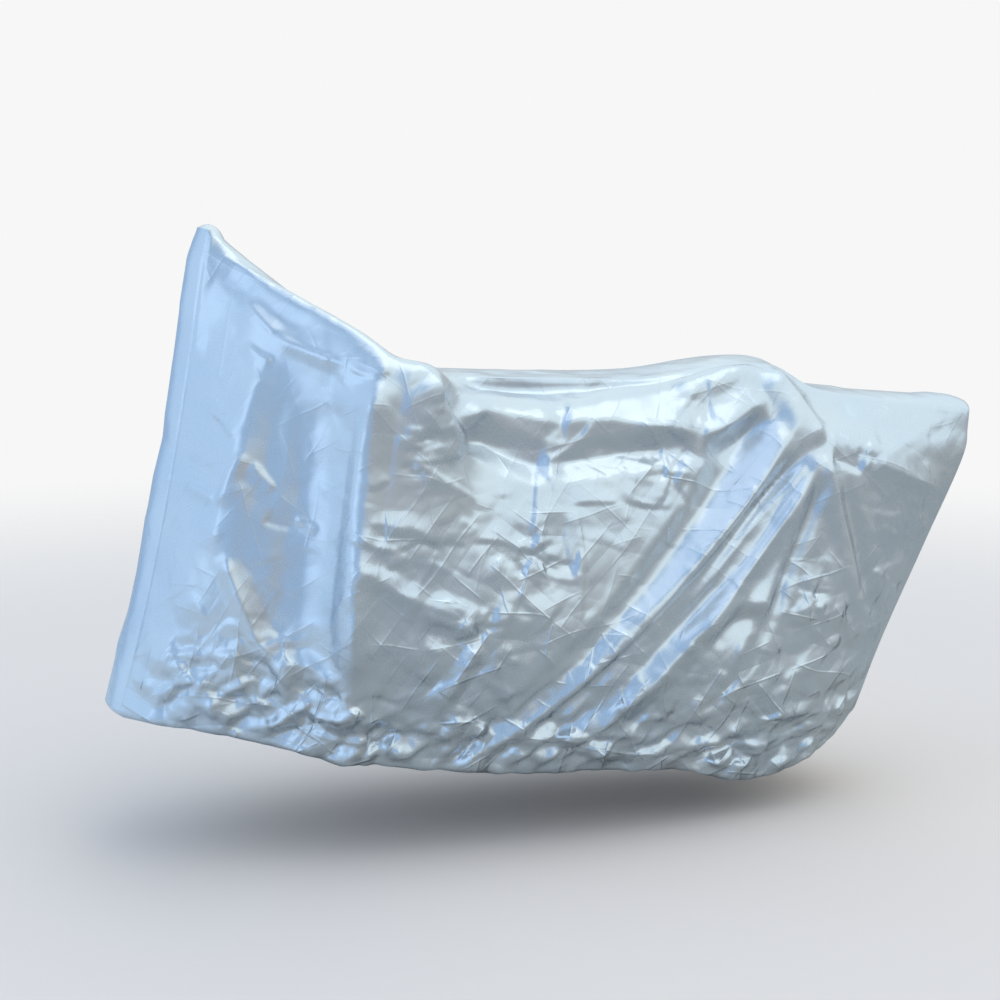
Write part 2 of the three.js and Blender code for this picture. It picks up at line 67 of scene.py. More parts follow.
hem = {
    "radius": 15,           # the elastic rolls the edge under on this radius
    "startAngle": 0.25,
    "endAngle": 2.5,
    "rows": 10,
    "spineFront": -650,     # the roll is drawn towards this line on the ground
    "spineBack": 650,
    "gathers": [(170, 0.22, 0.0), (265, 0.16, 1.3), (61, 0.12, 0.4), (43, 0.09, 2.2)],  # length, share, start
    "gatherCalm": 90,       # they die out this close to the nose and the tail
    "slanted": (64, 0.37),  # size and slope of the crumples that run up and back, and of the level ones
    "level": (60, 0.24),
    "slantedPull": (1.1, 0.5),  # how close together they lie across and along the slant
    "levelPull": (0.7, 1.4),    # and along and up the hem
    "slantedStart": 1200,   # keeps places across the slant above zero
    "crumpleHeight": 50,    # crumples are full up to here and die out over the next stretch
    "crumpleFade": 130,
    "crumpleCalm": 170,     # and towards the nose and the tail
    "edgeShare": 0.35,      # what is left of them at the edge
    "edgeReach": 45,
    "creasedHeight": 150,   # the finish is creased up to here
}


# Curves and grids
def smooth(t):
    s = np.clip(t, 0, 1)
    return s * s * (3 - 2 * s)


def size(vectors):
    return np.linalg.norm(vectors, axis=-1, keepdims=True)


def unit(vectors):
    return vectors / np.maximum(size(vectors), 1e-12)


def curveThrough(stops, places):
    # centripetal curves through stops, read at places counted in stops; many curves may run side by side
    first = 2 * stops[0] - stops[1]
    last = 2 * stops[-1] - stops[-2]
    padded = np.concatenate([first[None], stops, last[None]])
    at = np.clip(np.floor(places).astype(int), 0, len(stops) - 2)
    share = (places - at).reshape((-1,) + (1,) * (stops.ndim - 1))
    a, b, c, d = (padded[at + n] for n in range(4))
    gapA, gapB, gapC = (np.sqrt(size(q - p)) for p, q in ((a, b), (b, c), (c, d)))
    startSlope = ((b - a) / gapA - (c - a) / (gapA + gapB)) * gapB + c - b
    endSlope = ((d - c) / gapC - (d - b) / (gapB + gapC)) * gapB + c - b
    square = 3 * (c - b) - 2 * startSlope - endSlope
    cube = 2 * (b - c) + startSlope + endSlope
    return b + share * (startSlope + share * (square + share * cube))


def evenPlaces(stops, count):
    # places that cut the curves into steps of about the same length
    fine = np.linspace(0, len(stops) - 1, 60 * len(stops))
    steps = size(np.diff(curveThrough(stops, fine), axis=0))
    way = np.concatenate([[0], np.cumsum(steps.reshape(len(steps), -1).mean(1))])
    return np.interp(np.linspace(0, way[-1], count), way, fine)


def gridNormals(grid):
    across = np.gradient(grid, axis=0)
    upward = np.gradient(grid, axis=1)
    return unit(np.cross(across, upward))


def wayAlong(grid, axis):
    # distance walked along one direction of a grid
    steps = size(np.diff(grid, axis=axis))[..., 0]
    start = np.zeros_like(np.take(steps, [0], axis=axis))
    return np.concatenate([start, np.cumsum(steps, axis=axis)], axis=axis)


# Folds and creases
def lineGap(x, z, row):
    # distance to a curved line through three points, how far along it, and on which side of it
    start, through, end = np.array(row[0:2]), np.array(row[2:4]), np.array(row[4:6])
    pull = 2 * through - (start + end) / 2
    count = cloth["lineSteps"]
    t = np.linspace(0, 1, count + 1)[:, None]
    line = (1 - t) ** 2 * start + 2 * t * (1 - t) * pull + t ** 2 * end
    nearest = np.full(x.shape, 1e9)
    along = np.zeros(x.shape)
    turn = np.zeros(x.shape)
    for k in range(count):
        runX, runZ = line[k + 1] - line[k]
        awayX, awayZ = x - line[k, 0], z - line[k, 1]
        share = np.clip((awayX * runX + awayZ * runZ) / max(runX ** 2 + runZ ** 2, 1e-9), 0, 1)
        gap = np.hypot(awayX - share * runX, awayZ - share * runZ)
        closer = gap < nearest
        nearest = np.where(closer, gap, nearest)
        along = np.where(closer, (k + share) / count, along)
        turn = np.where(closer, runX * awayZ - runZ * awayX, turn)
    return nearest, along, turn


def foldLift(x, z, rows):
    # each fold falls off to its left over one reach and to its right over another;
    # a sharp one has flat flanks that meet in a crest, a soft one is round
    lift = np.zeros(x.shape)
    for row in rows:
        left, right, rise, sharp = row[6:10]
        far = max(left, right)
        near = (x > min(row[0:6:2]) - far) & (x < max(row[0:6:2]) + far)
        near &= (z > min(row[1:6:2]) - far) & (z < max(row[1:6:2]) + far)
        gap, along, turn = lineGap(x[near], z[near], row)
        reach = np.where(turn > 0, left, right)
        ends = smooth(np.minimum(along, 1 - along) / cloth["foldTaper"] + cloth["foldTrace"])
        crest = np.hypot(gap, cloth["crestRadius"]) - cloth["crestRadius"]
        cusp = np.maximum(0, 1 - crest / reach) ** cloth["cuspPower"]
        bulge = np.maximum(0, 1 - (gap / reach) ** 2) ** 2
        lift[near] += rise * ends * (sharp * cusp + (1 - sharp) * bulge)
    return lift


def creaseRows(rows):
    # thin crisp creases in the same columns as folds, steep on one side and flat on the other by turns
    made = []
    for k, row in enumerate(rows):
        steep, flat = cloth["steepSide"] * row[6], cloth["flatSide"] * row[6]
        made.append(row[:6] + ((steep, flat) if k % 2 else (flat, steep)) + (row[7], 1))
    return made


star = {
    "uneven": 0.25,         # how far a ray strays from even spacing
    "length": (0.6, 1.1),   # shortest and longest ray, in the star's reach
    "bend": 0.12,
    "behind": 0.3,          # a ray starts this far behind the point
    "bendAt": 0.35,
    "sides": (9, 24),
}


def starRows(rows, seed):
    # creases that run out from one point, ridges and troughs by turns
    draw = np.random.default_rng(seed)
    made = []
    for starX, starZ, rays, reach, rise in rows:
        turn = draw.uniform(0, 2 * np.pi)
        for k in range(rays):
            angle = turn + 2 * np.pi * (k + draw.uniform(-star["uneven"], star["uneven"])) / rays
            far = reach * draw.uniform(*star["length"])
            stepX, stepZ = far * np.cos(angle), far * np.sin(angle)
            bend = draw.uniform(-star["bend"], star["bend"])
            start = (starX - star["behind"] * stepX, starZ - star["behind"] * stepZ)
            through = (starX + star["bendAt"] * stepX - bend * stepZ,
                       starZ + star["bendAt"] * stepZ + bend * stepX)
            end = (starX + stepX, starZ + stepZ)
            made.append(start + through + end + star["sides"] + (rise * (1 if k % 2 else -1), 1))
    return made


stray = {
    "scatter": 0.55,        # how widely they lie, in the area's reach
    "half": (0.4, 1.1),     # shortest and longest half, in the row's length
    "bend": 0.22,
    "steep": (6, 10),       # reach of the steep side
    "flat": (2, 5),         # and of the flat one, in steep sides
    "rise": (0.15, 0.3),    # in steep sides too
}


def strayRows(rows, seed):
    # short creases scattered over the crumpled areas, most of them along one direction
    draw = np.random.default_rng(seed)
    made = []
    for areaX, areaZ, reachX, reachZ, count, angle, spread, long in rows:
        for k in range(count):
            x = areaX + reachX * draw.normal(0, stray["scatter"])
            z = areaZ + reachZ * draw.normal(0, stray["scatter"])
            way = np.radians(angle + draw.normal(0, spread))
            half = long * draw.uniform(*stray["half"])
            stepX, stepZ = half * np.cos(way), half * np.sin(way)
            bend = draw.uniform(-stray["bend"], stray["bend"])
            steep = draw.uniform(*stray["steep"])
            rise = draw.choice([-1, 1]) * steep * draw.uniform(*stray["rise"])
            made.append((x - stepX, z - stepZ, x - bend * stepZ, z + bend * stepX, x + stepX, z + stepZ,
                         steep, steep * draw.uniform(*stray["flat"]), rise, 1))
    return made


def seedGap(u, v, cell, draw):
    # squared distance to the nearest of many scattered points, one in each cell
    wide, high = int(u.max() / cell) + 4, int(v.max() / cell) + 4
    spots = draw.uniform(0, 1, (wide, high, 2))
    column, row = np.floor(u / cell).astype(int) + 1, np.floor(v / cell).astype(int) + 1
    nearest = np.full(u.shape, 1e9)
    for stepU in (-1, 0, 1):
        for stepV in (-1, 0, 1):
            spot = spots[column + stepU, row + stepV]
            gapU = u / cell - (column + stepU - 1 + spot[..., 0])
            gapV = v / cell - (row + stepV - 1 + spot[..., 1])
            nearest = np.minimum(nearest, gapU ** 2 + gapV ** 2)
    return nearest


def facets(u, v, cell, slope, draw):
    # flat facets between sharp ridges and troughs, as in crumpled foil: the paraboloids cancel out
    return slope * cell * (seedGap(u, v, cell, draw) - seedGap(u + cell / 3, v + cell / 2, cell, draw))


def areaMask(x, z, rows):
    # how crumpled the cloth is: a base amount and soft round areas with more or less
    amount = np.full(x.shape, cloth["crumpled"])
    for areaX, areaZ, reachX, reachZ, more in rows:
        amount += more * np.exp(-(((x - areaX) / reachX) ** 2 + ((z - areaZ) / reachZ) ** 2))
    return np.clip(amount, cloth["crumpledLeast"], cloth["crumpledMost"])


# Meshes
def borderLoop(grid):
    return np.concatenate([grid[:-1, 0], grid[-1, :-1], grid[:0:-1, -1], grid[0, :0:-1]])


def gridFaces(grid):
    return np.stack([grid[:-1, :-1], grid[1:, :-1], grid[1:, 1:], grid[:-1, 1:]], -1).reshape(-1, 4)


def closedSheet(name, grid, flip=False):
    # a fine outer face and a coarser inner one, closed by a rim; metres in the solids' frame
    grid = (grid - [0, 0, cloth["saddleHeight"]]) / 1000
    normals = gridNormals(grid) * (-1 if flip else 1)
    step = cloth["innerStep"]
    outside = grid + normals * cloth["outer"] / 1000
    inside = (grid - normals * cloth["inner"] / 1000)[::step, ::step]
    outer = np.arange(outside.shape[0] * outside.shape[1]).reshape(outside.shape[:2])
    inner = outer.size + np.arange(inside.shape[0] * inside.shape[1]).reshape(inside.shape[:2])
    rim, innerRim = borderLoop(outer), borderLoop(inner)
    rimFaces = [np.roll(rim, -n)[::step] for n in range(step, -1, -1)] + [innerRim, np.roll(innerRim, -1)]
    faces = gridFaces(outer).tolist() + gridFaces(inner)[:, ::-1].tolist() + np.stack(rimFaces, -1).tolist()
    if flip:
        faces = [face[::-1] for face in faces]
    mesh = bpy.data.meshes.new(name)
    points = np.concatenate([outside.reshape(-1, 3), inside.reshape(-1, 3)])
    mesh.from_pydata(points.tolist(), [], faces)
    mesh.polygons.foreach_set("use_smooth", np.ones(len(faces), bool))
    mesh.set_sharp_from_angle(angle=cloth["sharpAngle"])
    addMap(mesh, outer, inner, len(rim) // step)
    piece = bpy.data.objects.new(name, mesh)
    bpy.context.scene.collection.objects.link(piece)
    print(name, "has", sum(len(face) - 2 for face in faces), "triangles")
    return piece


flatMap = {
    "left": 0.02,
    "wide": 0.96,
    "high": 0.44,
    "outerLow": 0.53,
    "innerLow": 0.03,
    "rim": (0.001, 0.02),   # the rim's border lies between these shares outside the outer face
    "middle": (0.5, 0.75),
}


def addMap(mesh, outer, inner, rimCount):
    # outer face in the map's upper half, inner face in its lower half, the rim as a thin border
    def spread(grid, low):
        column, row = np.meshgrid(*(np.linspace(0, 1, count) for count in grid.shape), indexing="ij")
        flat = [flatMap["left"] + flatMap["wide"] * column, low + flatMap["high"] * row]
        return np.stack(flat, -1).reshape(-1, 2)
    places = np.concatenate([spread(outer, flatMap["outerLow"]), spread(inner, flatMap["innerLow"])])
    corners = np.zeros(len(mesh.loops), int)
    mesh.loops.foreach_get("vertex_index", corners)
    uv = places[corners]
    onRim = slice(len(corners) - rimCount * (cloth["innerStep"] + 3), None)
    onInner = (corners[onRim] >= outer.size)[:, None]
    border = uv[onRim] + np.where(onInner, [0, flatMap["outerLow"] - flatMap["innerLow"]], 0)
    near, far = flatMap["rim"]
    uv[onRim] = border + np.where(onInner, far, near) * (border - flatMap["middle"])
    layer = mesh.uv_layers.new(name="OFBake")
    layer.data.foreach_set("uv", uv.ravel())


def addAmount(piece, name, values):
    # one number for each point of both faces, for the materials to read
    step = cloth["innerStep"]
    both = np.concatenate([values.ravel(), values[::step, ::step].ravel()])
    attribute = piece.data.attributes.new(name, "FLOAT", "POINT")
    attribute.data.foreach_set("value", both.astype(np.float32))


# Seam along the top, the same on both sides, for each rib from the peak to the tail:
# x, half, z, crown of the strip, and how far the panels fall straight down from the seam
topSeam = np.array([
    (-632, 54, 1300, 19, 0),      # peak
    (-603, 58, 1273, 12, 0),      # behind the peak
    (-526, 62, 1214, 7, 0),       # brow
    (-420, 72, 1129, 3, 0),       # shield
    (-318, 88, 1057, 3, 0),       # before the grip
    (-240, 97, 1014, 5, 0),       # grip front
    (-182, 101, 1000, 6, 0),      # grip back
    (-74, 105, 988, 6, 40),       # lap
    (102, 110, 979, 6, 42),       # saddle
    (308, 110, 977, 6, 26),       # seat back
    (588, 108, 999, 10, 0),       # hump
    (705, 108, 942, 7, 0),        # behind the hump
    (877, 104, 910, 14, 0),       # carrier
    (1104, 88, 880, 24, 0),       # tail corner
], float)

# Each rib from front to tail: x, width from the middle and height of its shoulder, middle, low and hem stops.
# Each fold: a line through three points, its reach to the left and right, its rise, and how sharp it is.
leftPanel = {
    "node": "side_panel_left",
    "side": -1,
    "seed": 5,
    "ribs": [
        (-648, 58, 1235, -708, 62, 894, -784, 78, 547, -850, 86, 296),
        (-596, 80, 1233, -662, 130, 879, -733, 160, 557, -792, 145, 293),
        (-537, 120, 1203, -600, 190, 864, -662, 215, 523, -685, 190, 279),
        (-448, 190, 1150, -486, 235, 825, -537, 255, 482, -557, 225, 250),
        (-361, 260, 1094, -399, 285, 788, -443, 300, 465, -464, 260, 225),
        (-305, 300, 1046, -359, 330, 773, -406, 345, 472, -411, 280, 212),
        (-232, 310, 1026, -251, 338, 768, -298, 345, 466, -308, 285, 202),
        (-101, 205, 925, -131, 312, 718, -162, 345, 457, -164, 285, 178),
        (77, 195, 905, 21, 300, 688, -12, 340, 424, -14, 280, 159),
        (278, 190, 918, 212, 290, 655, 167, 330, 388, 155, 275, 150),
        (530, 150, 990, 435, 270, 640, 367, 310, 346, 338, 260, 130),
        (674, 220, 828, 610, 250, 583, 533, 280, 304, 506, 230, 83),
        (826, 206, 802, 791, 215, 566, 732, 220, 297, 692, 180, 112),
        (1089, 104, 792, 995, 95, 567, 893, 95, 346, 838, 90, 186),
    ],
    "folds": [
        (-603, 1232, -540, 1150, -430, 1092, 38, 34, -5, 0.2),      # hollow under the brow
        (-573, 1161, -505, 1076, -309, 1030, 50, 60, 4, 0.8),       # crease under the brow
        (-538, 1053, -612, 845, -668, 620, 60, 40, 9, 0.8),         # long soft crease
        (-415, 985, -450, 765, -500, 485, 85, 85, -6, 0),           # valley of the shield
        (-330, 1018, -375, 790, -411, 360, 42, 95, 26, 0.9),        # ridge hanging from the grip
        (-236, 1018, -200, 950, -150, 850, 26, 66, 15, 1),          # back edge of the grip
        (-204, 990, -164, 926, -108, 856, 32, 34, -15, 0.5),        # hollow behind the grip
        (-150, 946, 110, 934, 430, 972, 34, 64, 11, 1),             # lower edge of the band under the seam
        (-172, 932, -55, 906, 70, 884, 80, 42, 28, 1),              # swag, front
        (40, 890, 215, 886, 392, 858, 75, 40, 24, 1),               # swag, middle
        (372, 858, 462, 880, 556, 936, 60, 40, 22, 1),              # swag, back
        (-140, 905, -45, 842, 40, 820, 45, 50, -20, 0.6),           # under the swag, front
        (20, 820, 185, 834, 372, 850, 36, 50, -20, 0.5),            # under the swag, middle
        (385, 835, 470, 850, 545, 905, 36, 45, -14, 0.5),           # under the swag, back
        (129, 900, 300, 952, 545, 1000, 45, 40, 10, 0.3),           # soft ridge up to the hump
        (572, 1000, 630, 915, 676, 832, 40, 60, 18, 1),             # from the hump to the knob
        (565, 950, 262, 578, -96, 270, 70, 60, -22, 0.2),           # foot of the broad slanted face
        (640, 905, 300, 546, -112, 228, 34, 68, 28, 0.85),          # crest of the broad slanted face
        (642, 828, 318, 548, -82, 200, 24, 26, -14, 0.5),           # groove behind it
        (662, 804, 355, 462, -10, 170, 50, 38, 24, 0.85),           # second crest
        (648, 770, 545, 545, 425, 300, 30, 60, 14, 0.6),            # third crest
        (655, 768, 572, 560, 400, 285, 36, 30, -14, 0.6),           # groove behind it
        (668, 815, 715, 665, 795, 425, 36, 44, 16, 0.85),           # crest below the knob
        (712, 760, 758, 590, 825, 420, 36, 40, -14, 0.4),           # trough before the tail
        (684, 836, 748, 842, 830, 828, 48, 46, 9, 0.2),             # bulge of the carrier
        (770, 796, 887, 752, 1010, 700, 60, 34, 12, 0.8),           # edge of the carrier
        (360, 420, 430, 500, 528, 490, 50, 30, 12, 1),              # pocket
        (380, 412, 440, 462, 520, 462, 30, 40, -9, 0.3),            # inside of the pocket
        (200, 232, 345, 200, 500, 243, 36, 34, 14, 0.8),            # ridge along the back of the hem
        (500, 240, 640, 236, 800, 224, 34, 32, 12, 0.7),
        (-265, 300, -92, 262, 131, 236, 36, 34, 10, 0.6),           # ridge along the middle of the hem
        (-640, 655, -607, 560, -560, 455, 34, 32, 8, 0.9),          # long crease of the front
        (-575, 480, -540, 425, -488, 370, 32, 32, 9, 0.9),
        (-545, 425, -485, 432, -432, 388, 32, 36, 12, 0.9),         # slack corner before the grip ridge
        (-520, 385, -470, 375, -425, 355, 30, 32, -10, 0.4),
        (-790, 470, -705, 368, -610, 290, 44, 44, 7, 0.5),          # crease across the nose hem
        (-375, 722, -300, 716, -200, 684, 36, 32, 6, 0.9),          # waves behind the grip ridge
        (-395, 650, -290, 575, -135, 508, 32, 34, 11, 0.9),
        (-270, 505, -200, 480, -150, 462, 30, 36, -10, 0.4),
        (-135, 480, -202, 373, -265, 268, 30, 34, 12, 0.8),
    ],
    # thin creases: a line through three points, reach and rise
    "creases": [
        (628, 790, 500, 670, 330, 510, 22, 8),          # between the slanted crests
        (648, 803, 470, 600, 262, 425, 24, -13),
        (690, 800, 725, 790, 770, 772, 24, -9),         # under the bulge
        (31, 825, 90, 850, 145, 888, 13, 6),            # bright line inside the swag
        (304, 875, 345, 915, 401, 959, 12, 4),          # before the hump
        (412, 975, 412, 930, 408, 880, 14, -5),
        (310, 858, 300, 815, 308, 774, 13, 5),
        (-638, 661, -609, 553, -559, 439, 11, 4),       # long line of the front
        (-559, 439, -522, 392, -480, 340, 11, 5),
        (-700, 570, -690, 545, -680, 520, 12, 3),       # nose and front hem
        (-635, 520, -605, 495, -570, 465, 12, 4),
        (-625, 540, -660, 510, -695, 475, 13, -4),
        (-745, 455, -720, 460, -700, 465, 12, -4),
        (-750, 455, -740, 435, -730, 415, 12, 4),
        (-730, 415, -700, 420, -670, 425, 13, -4),
        (-665, 450, -665, 435, -660, 420, 11, -3),
        (-625, 445, -585, 435, -550, 420, 13, -5),
        (-695, 385, -655, 370, -610, 350, 13, -5),
        (-710, 375, -705, 355, -695, 330, 12, 4),
        (-590, 415, -585, 355, -580, 305, 12, 4),
        (-540, 400, -525, 355, -505, 310, 13, 5),
        (-515, 385, -495, 365, -475, 340, 12, 4),
        (-260, 850, -215, 850, -160, 855, 11, 3),       # below the grip
        (-255, 835, -195, 795, -135, 755, 14, 4),
        (-360, 795, -345, 805, -325, 815, 11, 3),
        (-360, 700, -290, 692, -215, 664, 16, -5),      # waves
        (-390, 695, -360, 685, -325, 670, 14, 5),
        (-155, 672, -80, 662, -20, 638, 15, -5),
        (15, 820, -5, 730, -15, 645, 12, 4),            # packing creases of the middle
        (10, 630, 40, 620, 75, 610, 12, -4),
        (-10, 590, -45, 560, -5, 520, 12, 4),
        (80, 735, 85, 620, 70, 460, 14, 5),
        (70, 740, 125, 740, 185, 735, 12, 4),
        (185, 735, 245, 718, 305, 710, 12, -4),
        (120, 830, 150, 805, 185, 775, 11, -3),
        (-265, 550, -215, 520, -140, 510, 14, 5),       # low middle
        (-140, 510, -95, 515, -55, 520, 12, 4),
        (65, 415, -10, 360, -100, 285, 14, 5),
        (370, 165, 470, 165, 560, 170, 15, -6),         # hem at the back
        (420, 150, 520, 175, 640, 190, 14, 5),
        (-571, 1158, -545, 1124, -520, 1089, 11, 4),    # shield
        (-520, 1089, -458, 1062, -391, 1038, 11, 4),
        (-391, 1038, -349, 1020, -310, 1037, 11, 4),
        (-575, 1074, -554, 1055, -527, 1041, 11, 4),
        (-653, 940, -626, 918, -607, 885, 11, 4),
        (-699, 791, -675, 778, -648, 766, 11, 4),
        (-702, 830, -676, 823, -649, 809, 11, -4),
        (-577, 839, -557, 812, -536, 785, 12, 4),
        (-560, 725, -530, 714, -478, 707, 12, -3),
        (-499, 729, -478, 720, -454, 706, 11, 4),
        (-594, 861, -619, 812, -645, 749, 12, 5),
    ],
    # x, z, rays, reach, rise
    "stars": [
        (-405, 340, 6, 62, 4),
        (-15, 640, 7, 70, 4),
        (65, 890, 5, 45, 3),
        (312, 785, 7, 70, 4),
        (645, 500, 7, 62, 4),
        (-140, 500, 7, 70, 4),
        (-120, 245, 5, 55, 4),
        (-340, 245, 5, 55, 4),
        (790, 800, 5, 42, 3),
        (-690, 440, 6, 62, 3.5),
    ],
    # scattered creases: x, z, reach along x and z, count, main direction in degrees, its spread, and length
    "strays": [
        (-640, 430, 130, 100, 14, -40, 40, 55),
        (-238, 905, 26, 75, 9, 10, 10, 22),
        (-320, 660, 60, 60, 10, -8, 14, 40),
        (-180, 680, 120, 60, 10, -15, 20, 50),
        (20, 640, 130, 110, 12, 85, 40, 55),
        (-170, 430, 140, 110, 16, -30, 35, 60),
        (230, 790, 140, 60, 10, -35, 25, 55),
        (660, 480, 90, 90, 12, 60, 45, 45),
        (890, 600, 90, 140, 12, -25, 35, 60),
        (300, 300, 260, 90, 18, 45, 20, 70),
        (560, 200, 200, 50, 12, 10, 18, 60),
        (-250, 260, 160, 40, 14, -70, 30, 45),
        (-600, 330, 160, 40, 14, -25, 30, 40),
        (330, 210, 240, 40, 20, 25, 25, 45),
        (640, 190, 130, 40, 12, 10, 20, 45),
        (-255, 880, 40, 90, 14, 8, 12, 26),
    ],
    # how crumpled the cloth is: x, z, reach along x, reach along z, how much more
    "crumples": [
        (-640, 430, 150, 110, 0.5),
        (-250, 680, 130, 80, 0.25),
        (0, 640, 150, 110, 0.4),
        (-150, 460, 180, 120, 0.6),
        (320, 800, 90, 90, 0.6),
        (650, 500, 80, 80, 0.6),
        (870, 620, 110, 150, 0.35),
        (330, 330, 260, 110, 0.55),
        (-420, 330, 120, 90, 0.7),
        (-100, 310, 200, 90, 0.9),
        (560, 250, 220, 90, 0.9),
        (720, 400, 130, 130, 0.4),
        (-560, 850, 170, 280, -0.08),
    ],
}

rightPanel = {
    "node": "side_panel_right",
    "side": 1,
    "seed": 6,
    "ribs": [
        (-648, 58, 1235, -708, 62, 894, -784, 78, 547, -850, 86, 296),
        (-582, 98, 1222, -655, 152, 872, -730, 172, 557, -790, 150, 293),
        (-520, 190, 1146, -585, 232, 850, -655, 236, 520, -685, 198, 283),
        (-448, 292, 1048, -497, 303, 800, -548, 290, 480, -557, 240, 260),
        (-378, 314, 1022, -420, 327, 780, -452, 322, 468, -464, 268, 240),
        (-300, 282, 996, -345, 330, 765, -398, 336, 470, -411, 280, 226),
        (-215, 238, 972, -245, 324, 755, -298, 345, 464, -308, 285, 206),
        (-95, 206, 922, -130, 310, 718, -162, 345, 455, -164, 285, 186),
        (80, 194, 906, 21, 300, 688, -12, 340, 424, -14, 280, 170),
        (282, 186, 918, 212, 290, 655, 167, 330, 388, 155, 275, 160),
        (530, 154, 970, 435, 270, 640, 367, 310, 346, 338, 260, 146),
        (676, 214, 836, 610, 250, 583, 533, 280, 304, 500, 230, 112),
        (826, 206, 802, 791, 215, 566, 732, 220, 297, 692, 180, 118),
        (1089, 104, 792, 995, 95, 567, 893, 95, 346, 838, 90, 186),
    ],
    "folds": [
        (-570, 1130, -520, 1010, -455, 960, 40, 55, 9, 0.7),        # crease under the brow
        (-560, 1000, -610, 830, -700, 560, 60, 60, -10, 0),         # soft trough of the shield
        (-450, 1010, -500, 760, -560, 340, 45, 65, 22, 0.7),        # ridge hanging from the grip
        (-360, 985, -330, 900, -290, 800, 46, 40, -16, 0.5),        # hollow behind the grip
        (-290, 965, -40, 900, 230, 935, 75, 42, 24, 0.9),           # swag along the saddle
        (-260, 915, -20, 835, 330, 895, 42, 52, -22, 0.5),          # under the swag
        (560, 940, 300, 590, -110, 230, 58, 52, -15, 0.2),          # foot of the broad slanted face
        (625, 900, 370, 540, -60, 215, 34, 46, 20, 0.85),           # crest of the broad slanted face
        (640, 826, 400, 520, 20, 205, 26, 28, -12, 0.5),            # groove behind it
        (655, 798, 440, 478, 110, 195, 44, 38, 18, 0.85),           # second crest
        (660, 790, 580, 540, 430, 260, 40, 40, -14, 0.5),           # second groove
        (690, 790, 665, 560, 600, 280, 40, 50, 15, 0.8),            # crest below the knob
        (735, 745, 800, 560, 850, 390, 46, 46, -14, 0.4),           # trough before the tail
        (690, 828, 780, 822, 900, 795, 42, 42, 12, 0.2),            # bulge of the carrier
        (-420, 300, -160, 275, 130, 240, 40, 40, 13, 0.7),          # ridge along the hem, front
        (150, 240, 470, 250, 780, 260, 40, 40, 14, 0.7),            # ridge along the hem, back
        (-780, 480, -690, 390, -560, 330, 46, 46, 10, 0.6),         # crease over the front hem
        (-300, 640, -150, 670, 20, 620, 40, 40, 10, 0.7),           # wave across the middle
        (590, 992, 655, 920, 678, 838, 40, 44, 12, 0.6),            # from the hump to the knob
        (-640, 600, -610, 500, -540, 400, 34, 34, 9, 0.9),          # long crease of the front
    ],
    "creases": [
        (-370, 990, -345, 920, -300, 830, 16, 5),
        (690, 800, 760, 640, 810, 450, 14, 5),
        (690, 860, 740, 848, 780, 828, 16, 5),
        (770, 800, 870, 760, 970, 715, 14, 5),
        (-740, 460, -690, 430, -630, 425, 14, -5),      # front hem
        (-700, 380, -640, 360, -580, 350, 14, 5),
        (-250, 640, -150, 610, -60, 560, 16, 5),        # middle
        (40, 760, 55, 640, 45, 480, 14, -5),
        (-120, 640, 40, 625, 190, 630, 14, -5),
        (-180, 480, -240, 400, -280, 320, 16, 5),
        (200, 230, 400, 225, 560, 250, 16, 5),          # hem
        (-60, 260, -200, 300, -330, 300, 16, 5),
    ],
    "stars": [
        (45, 635, 7, 70, 4),
        (-230, 470, 7, 70, 4),
        (360, 760, 7, 70, 4),
        (700, 470, 6, 60, 4),
        (-660, 430, 6, 62, 4),
        (120, 250, 5, 55, 4),
        (-420, 330, 6, 60, 4),
    ],
    "strays": [
        (-640, 430, 130, 100, 22, -40, 40, 55),
        (-330, 890, 40, 75, 10, 10, 12, 28),
        (-200, 620, 130, 100, 14, -10, 25, 50),
        (80, 620, 140, 120, 12, 80, 40, 55),
        (-170, 420, 140, 110, 14, -30, 35, 60),
        (260, 780, 140, 70, 10, -35, 25, 55),
        (690, 470, 100, 90, 12, 60, 45, 45),
        (890, 600, 90, 140, 12, -25, 35, 60),
        (300, 300, 260, 90, 18, 45, 20, 70),
        (520, 210, 220, 50, 12, 10, 18, 60),
        (-280, 280, 200, 50, 14, -70, 30, 45),
    ],
    "crumples": [
        (-640, 430, 150, 110, 0.7),
        (-200, 560, 190, 140, 0.45),
        (120, 560, 160, 140, 0.4),
        (360, 760, 110, 100, 0.5),
        (690, 480, 100, 100, 0.5),
        (870, 620, 110, 150, 0.35),
        (330, 330, 260, 110, 0.55),
        (-150, 300, 260, 90, 0.6),
        (560, 250, 220, 90, 0.6),
        (-560, 850, 170, 280, -0.25),
    ],
}


def ribStops(panel):
    # stops of all ribs from the hem up to the top seam, as stop, rib, point
    ribs = np.array(panel["ribs"], float).reshape(len(panel["ribs"]), 4, 3)[:, ::-1]
    top = topSeam[:, None, :3]
    fall = topSeam[:, 4, None, None]
    lean = cloth["fallLean"]
    straight = top * [1 - lean, 1, 1] + ribs[:, -1:] * [lean, 0, 0]
    straight = straight + [0, cloth["fallOut"], 0] - fall * [0, 0, 1]
    under = np.where(fall > 0, straight, (top + ribs[:, -1:]) / 2)
    stops = np.concatenate([ribs, under, top], axis=1)
    stops[:, 0, 2] += hem["radius"] * (1 - np.sin(hem["startAngle"]))
    stops[:, :, 1] *= panel["side"]
    return stops.swapaxes(0, 1)


